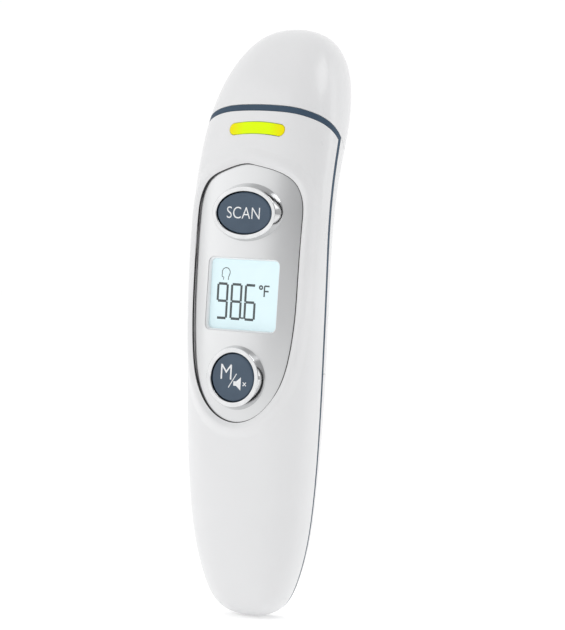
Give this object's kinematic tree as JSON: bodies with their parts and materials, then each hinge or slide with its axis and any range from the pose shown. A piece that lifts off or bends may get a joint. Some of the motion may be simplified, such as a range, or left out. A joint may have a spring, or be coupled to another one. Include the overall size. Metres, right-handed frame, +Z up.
{
  "type": "digital ear thermometer",
  "caption": "Hand-held infrared ear and forehead thermometer with a leaning removable head cap, oval and round keys, lit display and light bar.",
  "frame": {"origin": "centre of the overall box at the level of the tail's lowest point", "axes": "+Z up the handle towards the head, -Y out of the display side, +X to the right when facing the display"},
  "size_m": [0.0372, 0.035, 0.15],
  "materials": {
    "shell_white": "satin",
    "trim_blue": "matte",
    "grommet_grey": "matte",
    "inner_white": "matte",
    "magnet_nickel": "plated",
    "probe_white": "satin",
    "window_dark": "polished",
    "gold_tube": "gold plated",
    "can_steel": "plated",
    "holder_brass": "turned",
    "flex_amber": "satin",
    "panel_silver": "satin silver",
    "display_clear": "clear",
    "lcd_cyan": "lit",
    "backlight_white": "diffuse",
    "zebra_rubber": "matte",
    "key_blue": "satin",
    "ring_silver": "satin and bright",
    "switch_black": "matte",
    "plunger_grey": "matte",
    "lens_yellow": "lit",
    "led_white": "satin",
    "board_green": "solder mask",
    "chip_black": "matte",
    "cell_wrap": "printed film",
    "contact_nickel": "plated",
    "pad_foam": "foam",
    "screw_steel": "zinc plated",
    "label_silver": "matte film"
  },
  "bodies": {
    "handle": {"battery_contacts": "contact_nickel", "battery_left": "cell_wrap", "battery_right": "cell_wrap", "battery_springs": "contact_nickel", "battery_tray": "inner_white", "board_chips": "chip_black", "buzzer": "switch_black", "case_screws": "screw_steel", "collar_magnets": "magnet_nickel", "control_panel": "panel_silver", "display_window": "display_clear", "front_shell": "shell_white", "hall_sensor": "chip_black", "indicator_leds": "led_white", "indicator_lens": "lens_yellow", "lcd_backlight": "backlight_white", "lcd_frame": "inner_white", "lcd_glass": "lcd_cyan", "main_board": "board_green", "memory_button_ring": "ring_silver", "memory_switch": "switch_black", "probe_collar": "inner_white", "probe_nozzle": "probe_white", "probe_window": "window_dark", "rating_label": "label_silver", "rear_shell": "shell_white", "scan_button_ring": "ring_silver", "scan_switch": "switch_black", "sensor_can": "can_steel", "sensor_flex": "flex_amber", "sensor_holder": "holder_brass", "trim_band": "trim_blue", "waveguide_tube": "gold_tube", "zebra_strips": "zebra_rubber"},
    "cap": {"head_cap": "shell_white", "cap_grommet": "grommet_grey", "cap_magnet_seats": "inner_white", "cap_magnets": "magnet_nickel"},
    "cover": {"battery_cover": "shell_white", "cover_pad": "pad_foam"},
    "scan_key": {"scan_button": "key_blue", "scan_plunger": "plunger_grey"},
    "memory_key": {"memory_button": "key_blue", "memory_plunger": "plunger_grey"}
  },
  "joints": [
    {"name": "cap_pull", "type": "slide", "parent": "handle", "child": "cap", "axis": [0, 0.5, 0.866], "range_m": [0, 0.045]},
    {"name": "battery_cover_slide", "type": "slide", "parent": "handle", "child": "cover", "axis": [0, 0.0666, -0.9978], "range_m": [0, 0.07]},
    {"name": "scan_press", "type": "slide", "parent": "handle", "child": "scan_key", "axis": [0, 1, 0], "range_m": [0, 0.0005], "stiffness_N_per_m": 3000},
    {"name": "memory_press", "type": "slide", "parent": "handle", "child": "memory_key", "axis": [0, 1, 0], "range_m": [0, 0.0005], "stiffness_N_per_m": 3000}
  ]
}
